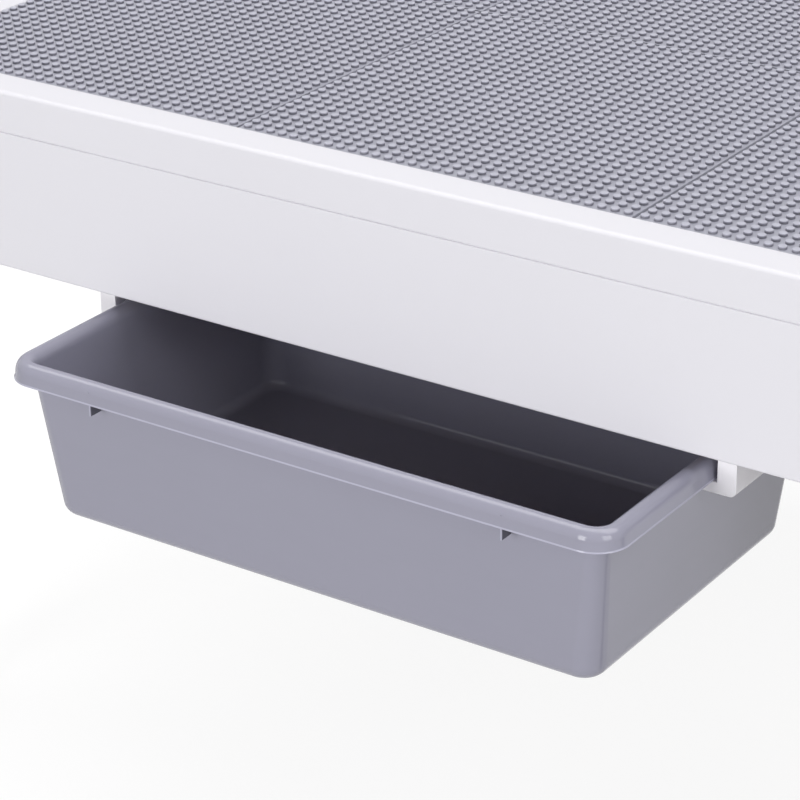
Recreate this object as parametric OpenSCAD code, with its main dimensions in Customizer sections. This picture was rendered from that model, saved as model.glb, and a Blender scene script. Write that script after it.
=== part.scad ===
// Kids activity table with a studded playing surface and two storage bins that slide under it.
// Millimetres. The origin is on the floor under the middle of the table, +X runs along the long
// side to the right, +Y away from the front, +Z up. Both bins stand partly drawn out.

/* [Playing surface] */
// Distance between neighbouring studs
stud_pitch = 8; // [7.8:0.1:8.4]
// Studs along each side of a brick plate
studs_per_side = 32; // [31:1:34]
// Thickness of a brick plate under its studs
plate_t = 1.8; // [1.4:0.1:2.6]
// Height of a stud
stud_h = 1.8; // [1.4:0.1:2.2]
// Diameter of a stud
stud_d = 4.9; // [4.5:0.1:5.2]
// Gap between two neighbouring brick plates
plate_gap = 2; // [0.5:0.5:4]
// Thickness of the board that the brick plates lie on
deck_t = 9; // [6:1:12]
// Gap between the trim and what lies inside it
fit_gap = 0.3; // [0.2:0.1:1]

/* [Table frame] */
// Height of the trim's top above the floor
table_h = 440; // [400:5:560]
// Width of the raised trim, seen from above
trim_w = 25.2; // [22:0.2:34]
// Height of the trim
trim_h = 26.1; // [24:0.1:32]
// Height of the studs' tops above the trim
stud_rise = 1.3; // [0:0.1:2.5]
// Radius of the trim's outer top edge
trim_edge_r = 2.5; // [1:0.5:5]
// Radius of the small edges along the joint of trim and apron, and of other board edges
joint_edge_r = 0.8; // [0.4:0.1:1.5]
// Radius of the table's upright corners
corner_r = 6; // [3:0.5:10]
// Height of an apron board
apron_h = 86.8; // [80:0.2:110]
// Thickness of an apron board
apron_t = 15; // [12:0.5:18]
// Width of a ledger strip under the deck board
ledger_w = 15; // [12:0.5:24]
// Width of the batten under the middle of the deck board
batten_w = 40; // [24:1:60]
// Thickness of the two bearers that carry the rails
bearer_t = 15; // [12:0.5:24]

/* [Legs] */
// Side of a square leg
leg_side = 45; // [38:1:52]
// Radius of a leg's upright edges
leg_edge_r = 2.5; // [1.5:0.5:6]
// Side of the bevel that seats the corner bracket on a leg
leg_bevel = 14; // [10:1:18]
// Diameter of a foot glide
glide_d = 24; // [18:1:30]
// Height of a foot glide
glide_h = 5; // [3:0.5:8]

/* [Corner brackets] */
// Thickness of the bracket's steel
bracket_t = 2; // [1.5:0.25:3]
// Height of a bracket
bracket_h = 50; // [44:1:60]
// Length of a bracket's flange along the apron
flange_l = 20; // [16:1:26]
// Diameter of the bolt that holds a leg
leg_bolt_d = 8; // [6:0.5:10]

/* [Rails] */
// Place of the rails' middle, right of the table's middle
rail_offset = -13.5; // [-20:0.5:20]
// Thickness of a rail's upright wall
rail_wall_t = 11.5; // [9:0.5:14]
// Reach of a rail's lip under the bin, at its top
rail_lip = 9; // [7:0.5:9.5]
// What the lip's bottom reaches further than its top
rail_lip_flare = 2.7; // [0:0.1:3]
// Thickness of a rail's lip
rail_lip_t = 6.6; // [5:0.1:8]
// Drop of a rail below the apron
rail_drop = 27.3; // [26:0.1:32]
// Height of a rail's wall that lies against its bearer
rail_overlap = 50; // [40:1:60]
// Radius of a rail's outer bottom edge
rail_edge_r = 4; // [2:0.5:6]
// Length of the stop blocks between the two closed bins
stop_l = 62.4; // [50:0.2:90]

/* [Bins] */
// Width of a bin over its rim
bin_w = 402; // [380:2:420]
// Height of a bin
bin_h = 100.5; // [90:0.5:120]
// Wall thickness of a bin
bin_wall = 2.5; // [2:0.1:3]
// Lean of a bin's walls
bin_draft = 5.2; // [2:0.1:7]
// Distance from the rim's outer face to the wall under it
rim_overhang = 11; // [11:0.2:13]
// Height of the rim
rim_h = 11.4; // [10:0.2:14]
// Height of the rim's nearly upright outer face
rim_face_h = 5.9; // [5:0.1:6.5]
// What the outer face leans in over its height
rim_face_lean = 1.2; // [0.4:0.1:2]
// Radius of the rim's outer shoulder
rim_shoulder_r = 6; // [5:0.1:6.5]
// Radius of the rim's inner edge
rim_inner_r = 5; // [4:0.1:5.2]
// Radius of the rim's corners, seen from above
rim_corner_r = 20; // [18:0.5:26]
// Radius of the wall's corners, seen from above
wall_corner_r = 11; // [10:0.5:14]
// Radius between a bin's wall and its floor, outside
floor_edge_r = 9; // [6:0.5:10]
// Distance between the two fins under the rim at the bin's front
fin_spacing = 272; // [220:2:320]
// Thickness of a fin
fin_t = 1; // [0.8:0.1:2]
// What a fin hangs below the rim
fin_drop = 7.4; // [5:0.2:10]
// How far a bin is drawn out
bin_out = 92.4; // [60:0.2:140]
// Play between the rim and a rail's wall
side_play = 2.2; // [1.5:0.1:3]
// Height of the rim above the rail's lip
slide_gap = 0.3; // [0.2:0.05:0.5]
// Gap between a closed bin and the stops
stop_gap = 0.3; // [0.2:0.1:1]

/* [Fasteners] */
// Diameter of the wood screws
screw_d = 3.5; // [3:0.1:4]
// Diameter of a screw's head
screw_head_d = 7; // [6:0.2:8]
// Height of a screw's head
screw_head_h = 2; // [1.6:0.1:2.6]
// Diameter of the small dowels in trim and batten
dowel_d = 6; // [5:0.5:7]
// Length of a small dowel
dowel_l = 22; // [18:1:24]
// Diameter of the dowels in the bearers' ends
bearer_dowel_d = 8; // [6:0.5:9]
// Length of a bearer's dowel
bearer_dowel_l = 30; // [24:1:36]
// What a hole is wider than the pin in it
hole_clearance = 0.1; // [0.1:0.05:0.3]

/* [Hidden] */

// The brick plates lie in three columns and two rows, each plate a node of its own.
plate_columns = 3;
plate_rows = 2;
overrun = 1;
$fn = 48;

// Plan of the table
plate_side = stud_pitch * studs_per_side;
plate_step = plate_side + plate_gap;
field_w = plate_columns * plate_step - plate_gap;
field_d = plate_rows * plate_step - plate_gap;
table_w = field_w + 2 * (fit_gap + trim_w);
table_d = field_d + 2 * (fit_gap + trim_w);
inner_w = table_w - 2 * apron_t;
inner_d = table_d - 2 * apron_t;

// Levels above the floor
trim_z = table_h - trim_h;
apron_z = trim_z - apron_h;
plate_z = table_h + stud_rise - stud_h - plate_t;
deck_z = plate_z - deck_t;
ledger_h = deck_z - trim_z;
rail_z = apron_z - rail_drop;
rail_h = rail_drop + rail_overlap;
lip_z = rail_z + rail_lip_t;
rim_z = lip_z + slide_gap;
bin_z = rim_z + rim_h - bin_h;

// Legs and brackets, in a corner's own coordinates
leg_h = trim_z - glide_h;
leg_middle = leg_side / 2 - apron_t;
bevel_sum = 2 * (leg_side - apron_t) - leg_bevel;
bracket_z = apron_z + (apron_h - bracket_h) / 2;
bevel_z = bracket_z - leg_bevel / 2;
leg_bolt_in = leg_side * 0.6;
washer_t = leg_bolt_d * 0.2;
washer_d = leg_bolt_d * 2;
nut_h = leg_bolt_d * 0.8;
nut_flats = leg_bolt_d * 1.6;
leg_bolt_out = bracket_t + washer_t + nut_h + leg_bolt_d / 2;
bracket_hole_d = leg_bolt_d + 5 * hole_clearance;
nail_d = glide_d / 10;
nail_l = glide_d * 0.75;
nail_hole_l = nail_l + glide_d * 0.04;

// Screws and dowels
screw_hole_d = screw_d + hole_clearance;
screw_tip = screw_d / 4;
bracket_screw_l = bracket_t + apron_t * 0.65;
ledger_screw_l = ledger_w + trim_w / 2;
rail_screw_l = rail_wall_t + bearer_t * 0.75;
stop_screw_l = rail_lip + rail_wall_t * 0.75;
dowel_tip = dowel_d / 12;
bearer_dowel_in = apron_t * 0.6;
batten_dowel_up = ledger_h * 0.7;

// Bin. Two closed bins and the stops between them fill the table's depth.
bin_d = (table_d - stop_l) / 2 - stop_gap;
wall_z = bin_h - rim_h;
draft_tan = tan(bin_draft);
wall_foot = rim_overhang + draft_tan * wall_z;
wall_slant = bin_wall / cos(bin_draft);
channel_z = bin_h - bin_wall;
corner_steps = 8;
edge_steps = 4;
stop_h = rim_h + slide_gap;
stop_w = rail_lip - slide_gap;

// Shares of a span at which pins and screws stand
long_shares = [-0.42, -0.14, 0.14, 0.42];
short_shares = [-0.36, 0, 0.36];
rail_shares = [-0.42, 0, 0.42];
stop_shares = [-0.25, 0.25];
height_shares = [0.25, 0.75];

// Small helpers
module to_back() { mirror([0, 1, 0]) children(); }
module to_right() { mirror([1, 0, 0]) children(); }

// A corner's own coordinates start where the aprons' inner faces would meet, inside the leg.
// They are drawn for the front left corner.
module at_corner(right, back) {
    mirror([right, 0, 0]) mirror([0, back, 0])
        translate([-inner_w / 2, -inner_d / 2, 0]) children();
}

module at_corners() {
    for (right = [0, 1], back = [0, 1]) at_corner(right, back) children();
}

// A pair that mirrors about the rails' own middle
module at_rail(right) {
    translate([rail_offset, 0, 0]) mirror([1 - right, 0, 0])
        translate([bin_w / 2 + side_play, 0, 0]) children();
}

// What is cut from a square corner to leave a quarter round
module corner_waste(r) {
    difference() {
        translate([-overrun, -overrun]) square(r + overrun);
        translate([r, r]) circle(r);
    }
}

module rounded_rect(w, d, r) {
    difference() {
        square([w, d], center = true);
        for (sx = [0, 1], sy = [0, 1])
            mirror([sx, 0]) mirror([0, sy]) translate([-w / 2, -d / 2]) corner_waste(r);
    }
}

// Board section: x from the outer face inwards, y upwards, one radius for each corner
module board_section(w, h, bottom_out, bottom_in, top_out, top_in) {
    difference() {
        square([w, h]);
        corner_waste(bottom_out);
        translate([w, 0]) mirror([1, 0]) corner_waste(bottom_in);
        translate([0, h]) mirror([0, 1]) corner_waste(top_out);
        translate([w, h]) mirror([1, 0]) mirror([0, 1]) corner_waste(top_in);
    }
}

// A board of the frame with its section's outer face on the table's outline, cut to a mitre
module mitred(t, z, h) {
    intersection() {
        children();
        translate([0, 0, z]) linear_extrude(h) rounded_rect(table_w, table_d, corner_r);
        translate([0, 0, z]) linear_extrude(h) polygon([
            [-table_w / 2, -table_d / 2], [table_w / 2, -table_d / 2],
            [table_w / 2 - t, -table_d / 2 + t], [-table_w / 2 + t, -table_d / 2 + t]
        ]);
    }
}

module mitred_side(t, z, h) {
    intersection() {
        children();
        translate([0, 0, z]) linear_extrude(h) rounded_rect(table_w, table_d, corner_r);
        translate([0, 0, z]) linear_extrude(h) polygon([
            [-table_w / 2, -table_d / 2], [-table_w / 2 + t, -table_d / 2 + t],
            [-table_w / 2 + t, table_d / 2 - t], [-table_w / 2, table_d / 2]
        ]);
    }
}

module along_front(z, l) {
    translate([0, -table_d / 2, z]) rotate([90, 0, 90])
        linear_extrude(l, center = true) children();
}

module along_left(z, l) {
    translate([-table_w / 2, 0, z]) rotate([90, 0, 0])
        linear_extrude(l, center = true) children();
}

// A pan head screw along -Z with its head's underside at z = 0
module screw(l) {
    cylinder(h = screw_head_h, d = screw_head_d);
    translate([0, 0, -l]) cylinder(h = l, d = screw_d);
}

module screw_hole(l) {
    translate([0, 0, -l - screw_tip]) cylinder(h = l + screw_tip + overrun, d = screw_hole_d);
}

module dowel(l, d) { translate([0, 0, -l / 2]) cylinder(h = l, d = d); }

module dowel_hole(l, d) {
    translate([0, 0, -l / 2 - dowel_tip])
        cylinder(h = l + 2 * dowel_tip, d = d + hole_clearance);
}

// Places of pins and screws, drawn for one side and mirrored to the others
module at_trim_dowels() {
    for (back = [0, 1], s = long_shares) mirror([0, back, 0])
        translate([s * table_w, -table_d / 2 + apron_t / 2, trim_z]) children();
    for (right = [0, 1], s = short_shares) mirror([right, 0, 0])
        translate([-table_w / 2 + apron_t / 2, s * table_d, trim_z]) children();
}

module at_ledger_screws() {
    for (back = [0, 1], s = long_shares) mirror([0, back, 0])
        translate([s * field_w, -table_d / 2 + trim_w + ledger_w, trim_z + ledger_h / 2])
            rotate([-90, 0, 0]) children();
    for (right = [0, 1], s = long_shares) mirror([right, 0, 0])
        translate([-table_w / 2 + trim_w + ledger_w, s * field_d, trim_z + ledger_h / 2])
            rotate([0, 90, 0]) children();
}

module at_bracket_screws() {
    for (s = height_shares) at_corners() {
        translate([bevel_sum + flange_l * 0.6, bracket_t, bracket_z + s * bracket_h])
            rotate([-90, 0, 0]) children();
        translate([bracket_t, bevel_sum + flange_l * 0.6, bracket_z + s * bracket_h])
            rotate([0, 90, 0]) children();
    }
}

module at_bearer_dowels() {
    for (right = [0, 1], back = [0, 1], s = height_shares)
        mirror([0, back, 0]) at_rail(right)
            translate([rail_wall_t + bearer_t / 2, -inner_d / 2 - bearer_dowel_in,
                apron_z + s * apron_h]) rotate([-90, 0, 0]) children();
}

module at_batten_dowels() {
    for (right = [0, 1]) at_rail(right)
        translate([rail_wall_t + bearer_t / 2, 0, trim_z + batten_dowel_up - dowel_l / 2])
            children();
}

module at_rail_screws() {
    for (right = [0, 1], s = rail_shares) at_rail(right)
        translate([0, s * inner_d, apron_z + rail_overlap / 2]) rotate([0, -90, 0]) children();
}

module at_stop_screws() {
    for (right = [0, 1], s = stop_shares) at_rail(right)
        translate([-stop_w, s * stop_l, lip_z + stop_h / 2]) rotate([0, -90, 0]) children();
}

module at_leg_bolt() {
    translate([bevel_sum / 2, bevel_sum / 2, bracket_z + bracket_h / 2])
        rotate([0, 0, 45]) rotate([0, 90, 0]) children();
}

// Trim: the raised frame around the brick plates
module trim_section() {
    board_section(trim_w, trim_h, joint_edge_r, joint_edge_r, trim_edge_r, joint_edge_r);
}

module trim_holes() {
    at_trim_dowels() dowel_hole(dowel_l, dowel_d);
    at_ledger_screws() screw_hole(ledger_screw_l);
}

module trim_long() {
    color("whitesmoke") difference() {
        mitred(trim_w, trim_z, trim_h) along_front(trim_z, table_w) trim_section();
        trim_holes();
    }
}

module trim_short() {
    color("whitesmoke") difference() {
        mitred_side(trim_w, trim_z, trim_h) along_left(trim_z, table_d) trim_section();
        trim_holes();
    }
}

module trim_front() { trim_long(); }
module trim_back() { to_back() trim_long(); }
module trim_left() { trim_short(); }
module trim_right() { to_right() trim_short(); }

// Aprons: the four boards between the legs, flush with the trim above them
module apron_section() {
    board_section(apron_t, apron_h, 2 * joint_edge_r, joint_edge_r, joint_edge_r, joint_edge_r);
}

module apron_holes() {
    at_trim_dowels() dowel_hole(dowel_l, dowel_d);
    at_bracket_screws() screw_hole(bracket_screw_l);
    at_bearer_dowels() bearer_dowel_hole();
}

module apron_front() {
    color("whitesmoke") difference() {
        along_front(apron_z, table_w - 2 * leg_side) apron_section();
        apron_holes();
    }
}

module apron_back() {
    color("whitesmoke") difference() {
        to_back() along_front(apron_z, table_w - 2 * leg_side) apron_section();
        apron_holes();
    }
}

module apron_short() {
    color("whitesmoke") difference() {
        along_left(apron_z, table_d - 2 * leg_side) apron_section();
        apron_holes();
    }
}

module apron_left() { apron_short(); }
module apron_right() { to_right() apron_short(); }

module trim_dowels() { color("burlywood") at_trim_dowels() dowel(dowel_l, dowel_d); }

// Legs: square posts in the table's corners, with a bevel for the bracket
module leg_section() {
    difference() {
        rounded_rect(leg_side, leg_side, leg_edge_r);
        translate([-leg_side / 2, -leg_side / 2]) corner_waste(corner_r);
    }
}

module leg(right, back) {
    color("whitesmoke") at_corner(right, back) difference() {
        translate([leg_middle, leg_middle, glide_h]) linear_extrude(leg_h) leg_section();
        translate([bevel_sum / 2, bevel_sum / 2, bevel_z]) rotate([0, 0, 45])
            translate([0, -leg_side, 0]) cube([leg_side, 2 * leg_side, table_h]);
        at_leg_bolt() translate([0, 0, -leg_bolt_in - screw_tip])
            cylinder(h = leg_bolt_in + screw_tip + overrun, d = leg_bolt_d + hole_clearance);
        translate([leg_middle, leg_middle, glide_h - overrun])
            cylinder(h = nail_hole_l + overrun, d = nail_d + hole_clearance);
    }
}

module leg_front_left() { leg(0, 0); }
module leg_front_right() { leg(1, 0); }
module leg_back_left() { leg(0, 1); }
module leg_back_right() { leg(1, 1); }

// Glides: domed discs nailed under the legs
module glide(right, back) {
    color("gray") at_corner(right, back) translate([leg_middle, leg_middle, 0]) {
        rotate_extrude() difference() {
            square([glide_d / 2, glide_h]);
            translate([glide_d / 2, 0]) mirror([1, 0]) corner_waste(glide_h / 2);
        }
        translate([0, 0, glide_h / 2]) cylinder(h = glide_h / 2 + nail_l, d = nail_d);
    }
}

module glide_front_left() { glide(0, 0); }
module glide_front_right() { glide(1, 0); }
module glide_back_left() { glide(0, 1); }
module glide_back_right() { glide(1, 1); }

// Corner brackets: bent steel plates across the corners, screwed to both aprons
module bracket(right, back) {
    bend = bracket_t * (sqrt(2) - 1);
    color("silver") difference() {
        at_corner(right, back) difference() {
            translate([0, 0, bracket_z]) linear_extrude(bracket_h) polygon([
                [bevel_sum, 0], [bevel_sum + flange_l, 0], [bevel_sum + flange_l, bracket_t],
                [bevel_sum + bend, bracket_t], [bracket_t, bevel_sum + bend],
                [bracket_t, bevel_sum + flange_l], [0, bevel_sum + flange_l], [0, bevel_sum]
            ]);
            at_leg_bolt() translate([0, 0, -overrun])
                cylinder(h = bracket_t + 2 * overrun, d = bracket_hole_d);
        }
        at_bracket_screws() screw_hole(bracket_screw_l);
    }
}

module bracket_front_left() { bracket(0, 0); }
module bracket_front_right() { bracket(1, 0); }
module bracket_back_left() { bracket(0, 1); }
module bracket_back_right() { bracket(1, 1); }

module leg_bolts() {
    color("silver") at_corners() at_leg_bolt() translate([0, 0, -leg_bolt_in])
        cylinder(h = leg_bolt_in + leg_bolt_out, d = leg_bolt_d);
}

module leg_washers() {
    color("silver") at_corners() at_leg_bolt() translate([0, 0, bracket_t]) difference() {
        cylinder(h = washer_t, d = washer_d);
        translate([0, 0, -overrun])
            cylinder(h = washer_t + 2 * overrun, d = leg_bolt_d + hole_clearance);
    }
}

module leg_nuts() {
    color("silver") at_corners() at_leg_bolt() translate([0, 0, bracket_t + washer_t])
        difference() {
            cylinder(h = nut_h, d = nut_flats / cos(30), $fn = 6);
            translate([0, 0, -overrun])
                cylinder(h = nut_h + 2 * overrun, d = leg_bolt_d + hole_clearance);
        }
}

module bracket_screws() { color("silver") at_bracket_screws() screw(bracket_screw_l); }

// Ledgers: strips along the trim's inside that carry the deck board
module ledger_holes() { at_ledger_screws() screw_hole(ledger_screw_l); }

module ledger_long() {
    color("burlywood") difference() {
        translate([-field_w / 2 - fit_gap, -table_d / 2 + trim_w, trim_z])
            cube([field_w + 2 * fit_gap, ledger_w, ledger_h]);
        ledger_holes();
    }
}

module ledger_short() {
    color("burlywood") difference() {
        translate([-table_w / 2 + trim_w, -table_d / 2 + trim_w + ledger_w, trim_z])
            cube([ledger_w, table_d - 2 * (trim_w + ledger_w), ledger_h]);
        ledger_holes();
    }
}

module ledger_front() { ledger_long(); }
module ledger_back() { to_back() ledger_long(); }
module ledger_left() { ledger_short(); }
module ledger_right() { to_right() ledger_short(); }
module ledger_screws() { color("silver") at_ledger_screws() screw(ledger_screw_l); }

// Bearers: boards between the front and back aprons, each with a rail on its inner face
module bearer_dowel_hole() {
    translate([0, 0, -dowel_tip])
        cylinder(h = bearer_dowel_l + 2 * dowel_tip, d = bearer_dowel_d + hole_clearance);
}

module bearer(right) {
    color("whitesmoke") difference() {
        at_rail(right) translate([rail_wall_t, -inner_d / 2, apron_z])
            cube([bearer_t, inner_d, apron_h]);
        at_bearer_dowels() bearer_dowel_hole();
        at_batten_dowels() dowel_hole(dowel_l, dowel_d);
        at_rail_screws() screw_hole(rail_screw_l);
    }
}

module bearer_left() { bearer(0); }
module bearer_right() { bearer(1); }

module bearer_dowels() {
    color("burlywood") at_bearer_dowels() cylinder(h = bearer_dowel_l, d = bearer_dowel_d);
}

// Batten: lies across the bearers under the joint between the two rows of plates
module deck_batten() {
    batten_l = table_w - 2 * (trim_w + ledger_w);
    color("burlywood") difference() {
        translate([-batten_l / 2, -batten_w / 2, trim_z]) cube([batten_l, batten_w, ledger_h]);
        at_batten_dowels() dowel_hole(dowel_l, dowel_d);
    }
}

module batten_dowels() { color("burlywood") at_batten_dowels() dowel(dowel_l, dowel_d); }

// Rails: a wall with a lip at its foot that the bin's rim slides on
module rail(right) {
    color("whitesmoke") difference() {
        at_rail(right) translate([0, 0, rail_z]) rotate([90, 0, 0])
            linear_extrude(inner_d, center = true) difference() {
                polygon([
                    [rail_wall_t, 0], [rail_wall_t, rail_h], [0, rail_h], [0, rail_lip_t],
                    [-rail_lip, rail_lip_t], [-rail_lip - rail_lip_flare, 0]
                ]);
                translate([rail_wall_t, 0]) mirror([1, 0]) corner_waste(rail_edge_r);
            }
        at_rail_screws() screw_hole(rail_screw_l);
        at_stop_screws() screw_hole(stop_screw_l);
    }
}

module rail_left() { rail(0); }
module rail_right() { rail(1); }
module rail_screws() { color("silver") at_rail_screws() screw(rail_screw_l); }

// Stops: blocks at the middle of the rails that a closed bin runs up to
module rail_stop(right) {
    color("burlywood") difference() {
        at_rail(right) translate([-stop_w, -stop_l / 2, lip_z]) cube([stop_w, stop_l, stop_h]);
        at_stop_screws() screw_hole(stop_screw_l);
    }
}

module rail_stop_left() { rail_stop(0); }
module rail_stop_right() { rail_stop(1); }
module stop_screws() { color("silver") at_stop_screws() screw(stop_screw_l); }

module deck_board() {
    color("burlywood") translate([-field_w / 2, -field_d / 2, deck_z])
        cube([field_w, field_d, deck_t]);
}

// Brick plates: square slabs with a grid of round studs
module brick_plate(column, row) {
    color("darkgray")
        translate([-field_w / 2 + column * plate_step, -field_d / 2 + row * plate_step, plate_z]) {
            cube([plate_side, plate_side, plate_t]);
            for (i = [0 : studs_per_side - 1], j = [0 : studs_per_side - 1])
                translate([(i + 0.5) * stud_pitch, (j + 0.5) * stud_pitch, plate_t])
                    cylinder(h = stud_h, d = stud_d);
        }
}

module brick_plate_front_left() { brick_plate(0, 0); }
module brick_plate_front_centre() { brick_plate(1, 0); }
module brick_plate_front_right() { brick_plate(2, 0); }
module brick_plate_back_left() { brick_plate(0, 1); }
module brick_plate_back_centre() { brick_plate(1, 1); }
module brick_plate_back_right() { brick_plate(2, 1); }

// Bin: a moulded tray, lofted through rounded rectangles. A ring holds how far it lies inside
// the rim's outer face, its height and its corner radius.
function arc_ring(inset, z, r, angle, corner) =
    [inset - r * cos(angle), z + r * sin(angle), corner];

// Distance of the wall's outer face from the rim's outer face at a height
function wall_inset(z) = wall_foot - draft_tan * z;

// The corner's radius shrinks with the inset on the rim and round the floor's edge.
function rim_ring(inset, z, r, angle) =
    let (at = inset - r * cos(angle)) [at, z + r * sin(angle), rim_corner_r - at];
function floor_ring(inset, z, r, angle, corner) =
    let (sunk = r * (1 - cos(angle))) arc_ring(inset, z, r, -angle, corner - sunk);

// Centre of the round between a leaning wall and a floor
function round_inset(foot, r) = foot + r * (1 - sin(bin_draft)) / cos(bin_draft);

inner_edge_r = floor_edge_r - bin_wall;
inner_corner_r = wall_corner_r - bin_wall;
inner_foot = wall_inset(bin_wall) + wall_slant;
outer_round_x = round_inset(wall_foot, floor_edge_r);
inner_round_x = round_inset(inner_foot, inner_edge_r);
shoulder_angle = atan(rim_face_lean / rim_face_h);
shoulder_x = rim_face_lean + rim_shoulder_r * cos(shoulder_angle);
shoulder_z = bin_h - rim_shoulder_r;
lip_edge_z = bin_h - rim_inner_r;
lip_touch_z = lip_edge_z + rim_inner_r * sin(bin_draft);
lip_edge_x = wall_inset(lip_touch_z) + wall_slant - rim_inner_r * cos(bin_draft);
channel_r = rim_shoulder_r - bin_wall;

bin_rings = concat(
    [for (i = [edge_steps : -1 : 0])
        floor_ring(outer_round_x, floor_edge_r, floor_edge_r,
            bin_draft + (90 - bin_draft) * i / edge_steps, wall_corner_r)],
    [[wall_inset(channel_z), channel_z, rim_corner_r - wall_inset(channel_z)]],
    [for (i = [edge_steps : -2 : 0])
        rim_ring(shoulder_x, shoulder_z, channel_r, 90 * i / edge_steps)],
    [[bin_wall, wall_z, rim_corner_r - bin_wall], [0, wall_z, rim_corner_r]],
    [for (i = [0 : edge_steps])
        rim_ring(shoulder_x, shoulder_z, rim_shoulder_r,
            shoulder_angle + (90 - shoulder_angle) * i / edge_steps)],
    [for (i = [edge_steps : -1 : 0])
        let (angle = bin_draft + (90 - bin_draft) * i / edge_steps,
            at = lip_edge_x + rim_inner_r * cos(angle))
        [at, lip_edge_z + rim_inner_r * sin(angle), rim_corner_r - at]],
    [for (i = [0 : edge_steps])
        floor_ring(inner_round_x, bin_wall + inner_edge_r, inner_edge_r,
            bin_draft + (90 - bin_draft) * i / edge_steps, inner_corner_r)]
);

function ring_points(ring) = [
    for (corner = [0 : 3], i = [0 : corner_steps])
        let (
            inset = ring[0], r = ring[2], angle = 90 * (corner + i / corner_steps),
            sx = (corner == 0 || corner == 3) ? 1 : -1, sy = corner < 2 ? 1 : -1
        ) [
            sx * (bin_w / 2 - inset - r) + r * cos(angle),
            sy * (bin_d / 2 - inset - r) + r * sin(angle), ring[1]
        ]
];

module bin_shell() {
    stations = 4 * (corner_steps + 1);
    rings = len(bin_rings);
    polyhedron(
        points = [for (ring = bin_rings) each ring_points(ring)],
        faces = concat(
            [[for (i = [0 : stations - 1]) i]],
            [for (k = [0 : rings - 2], i = [0 : stations - 1]) [
                k * stations + i, (k + 1) * stations + i,
                (k + 1) * stations + (i + 1) % stations, k * stations + (i + 1) % stations
            ]],
            [[for (i = [stations - 1 : -1 : 0]) (rings - 1) * stations + i]]
        )
    );
}

// Fins under the rim at the bin's front
module bin_fins() {
    fin_front = -bin_d / 2 + bin_wall / 2;
    for (s = [-1, 1])
        translate([s * fin_spacing / 2 - fin_t / 2, fin_front, wall_z - fin_drop])
            cube([fin_t, rim_overhang, fin_drop + rim_h - bin_wall * 1.5]);
}

module bin(back) {
    color([0.62, 0.61, 0.68]) translate([rail_offset, 0, bin_z]) rotate([0, 0, 180 * back])
        translate([0, -table_d / 2 - bin_out + bin_d / 2, 0]) {
            bin_shell();
            bin_fins();
        }
}

module front_bin() { bin(0); }
module back_bin() { bin(1); }

trim_front();
trim_back();
trim_left();
trim_right();
apron_front();
apron_back();
apron_left();
apron_right();
trim_dowels();
leg_front_left();
leg_front_right();
leg_back_left();
leg_back_right();
glide_front_left();
glide_front_right();
glide_back_left();
glide_back_right();
bracket_front_left();
bracket_front_right();
bracket_back_left();
bracket_back_right();
leg_bolts();
leg_washers();
leg_nuts();
bracket_screws();
ledger_front();
ledger_back();
ledger_left();
ledger_right();
ledger_screws();
bearer_left();
bearer_right();
bearer_dowels();
deck_batten();
batten_dowels();
rail_left();
rail_right();
rail_screws();
rail_stop_left();
rail_stop_right();
stop_screws();
deck_board();
brick_plate_front_left();
brick_plate_front_centre();
brick_plate_front_right();
brick_plate_back_left();
brick_plate_back_centre();
brick_plate_back_right();
front_bin();
back_bin();
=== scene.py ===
"""Looks of the kids activity table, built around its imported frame."""

import math

import bmesh
import bpy
from mathutils import Euler, Matrix, Vector


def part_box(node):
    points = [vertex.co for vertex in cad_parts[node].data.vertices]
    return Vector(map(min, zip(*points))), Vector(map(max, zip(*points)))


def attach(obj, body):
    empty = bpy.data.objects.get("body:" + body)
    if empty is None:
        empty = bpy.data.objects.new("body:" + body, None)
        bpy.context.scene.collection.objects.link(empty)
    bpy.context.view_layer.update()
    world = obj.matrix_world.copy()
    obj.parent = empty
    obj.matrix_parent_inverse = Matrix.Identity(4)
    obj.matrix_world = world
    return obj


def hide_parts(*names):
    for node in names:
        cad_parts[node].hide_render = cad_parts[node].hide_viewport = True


bl_info = {
    "name": "Kids activity table",
    "version": (1, 0, 0),
    "blender": (4, 5, 0),
    "location": "View3D > Sidebar > Table",
    "description": "Builds a play table with studded plates and two bins that slide under it",
    "category": "Object",
}

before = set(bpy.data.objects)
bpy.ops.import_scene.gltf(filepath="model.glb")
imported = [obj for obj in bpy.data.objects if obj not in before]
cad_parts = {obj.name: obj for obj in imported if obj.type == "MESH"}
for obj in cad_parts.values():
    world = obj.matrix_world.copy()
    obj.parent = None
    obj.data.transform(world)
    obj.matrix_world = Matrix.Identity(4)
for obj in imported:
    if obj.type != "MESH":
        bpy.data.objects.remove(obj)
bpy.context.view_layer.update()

MM = 0.001
TINY = 1e-6
# Points this close to a cut, in metres, lie on it
ON_CUT = 0.01 * MM
# Ring points this close together, in metres, are one
MERGE = 0.002 * MM
# Two rings on one level could be bridged the wrong way round, so they lie this far apart in mm
SPLIT = 0.02
# Edges that turn by more than this, in radians, are sharp
SHARP_TURN = 0.9
# Steps in each rounded corner of a bin
CORNER_STEPS = 20
PLATES = [
    f"brick_plate_{row}_{column}"
    for row in ("front", "back")
    for column in ("left", "centre", "right")
]
CORNERS = [f"{row}_{side}" for row in ("front", "back") for side in ("left", "right")]
SCREWS = ("ledger_screws", "rail_screws", "stop_screws", "bracket_screws")
INNER_BOARDS = (
    "ledger_front", "ledger_back", "ledger_left", "ledger_right", "bearer_left", "bearer_right",
    "deck_batten", "deck_board", "rail_stop_left", "rail_stop_right",
)

# Width of the camera's sensor in millimetres
SENSOR = 36
# Side of the floor, and how far it lies below the glides, in metres
FLOOR_SIDE = 20.0
FLOOR_DROP = 0.5 * MM
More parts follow.
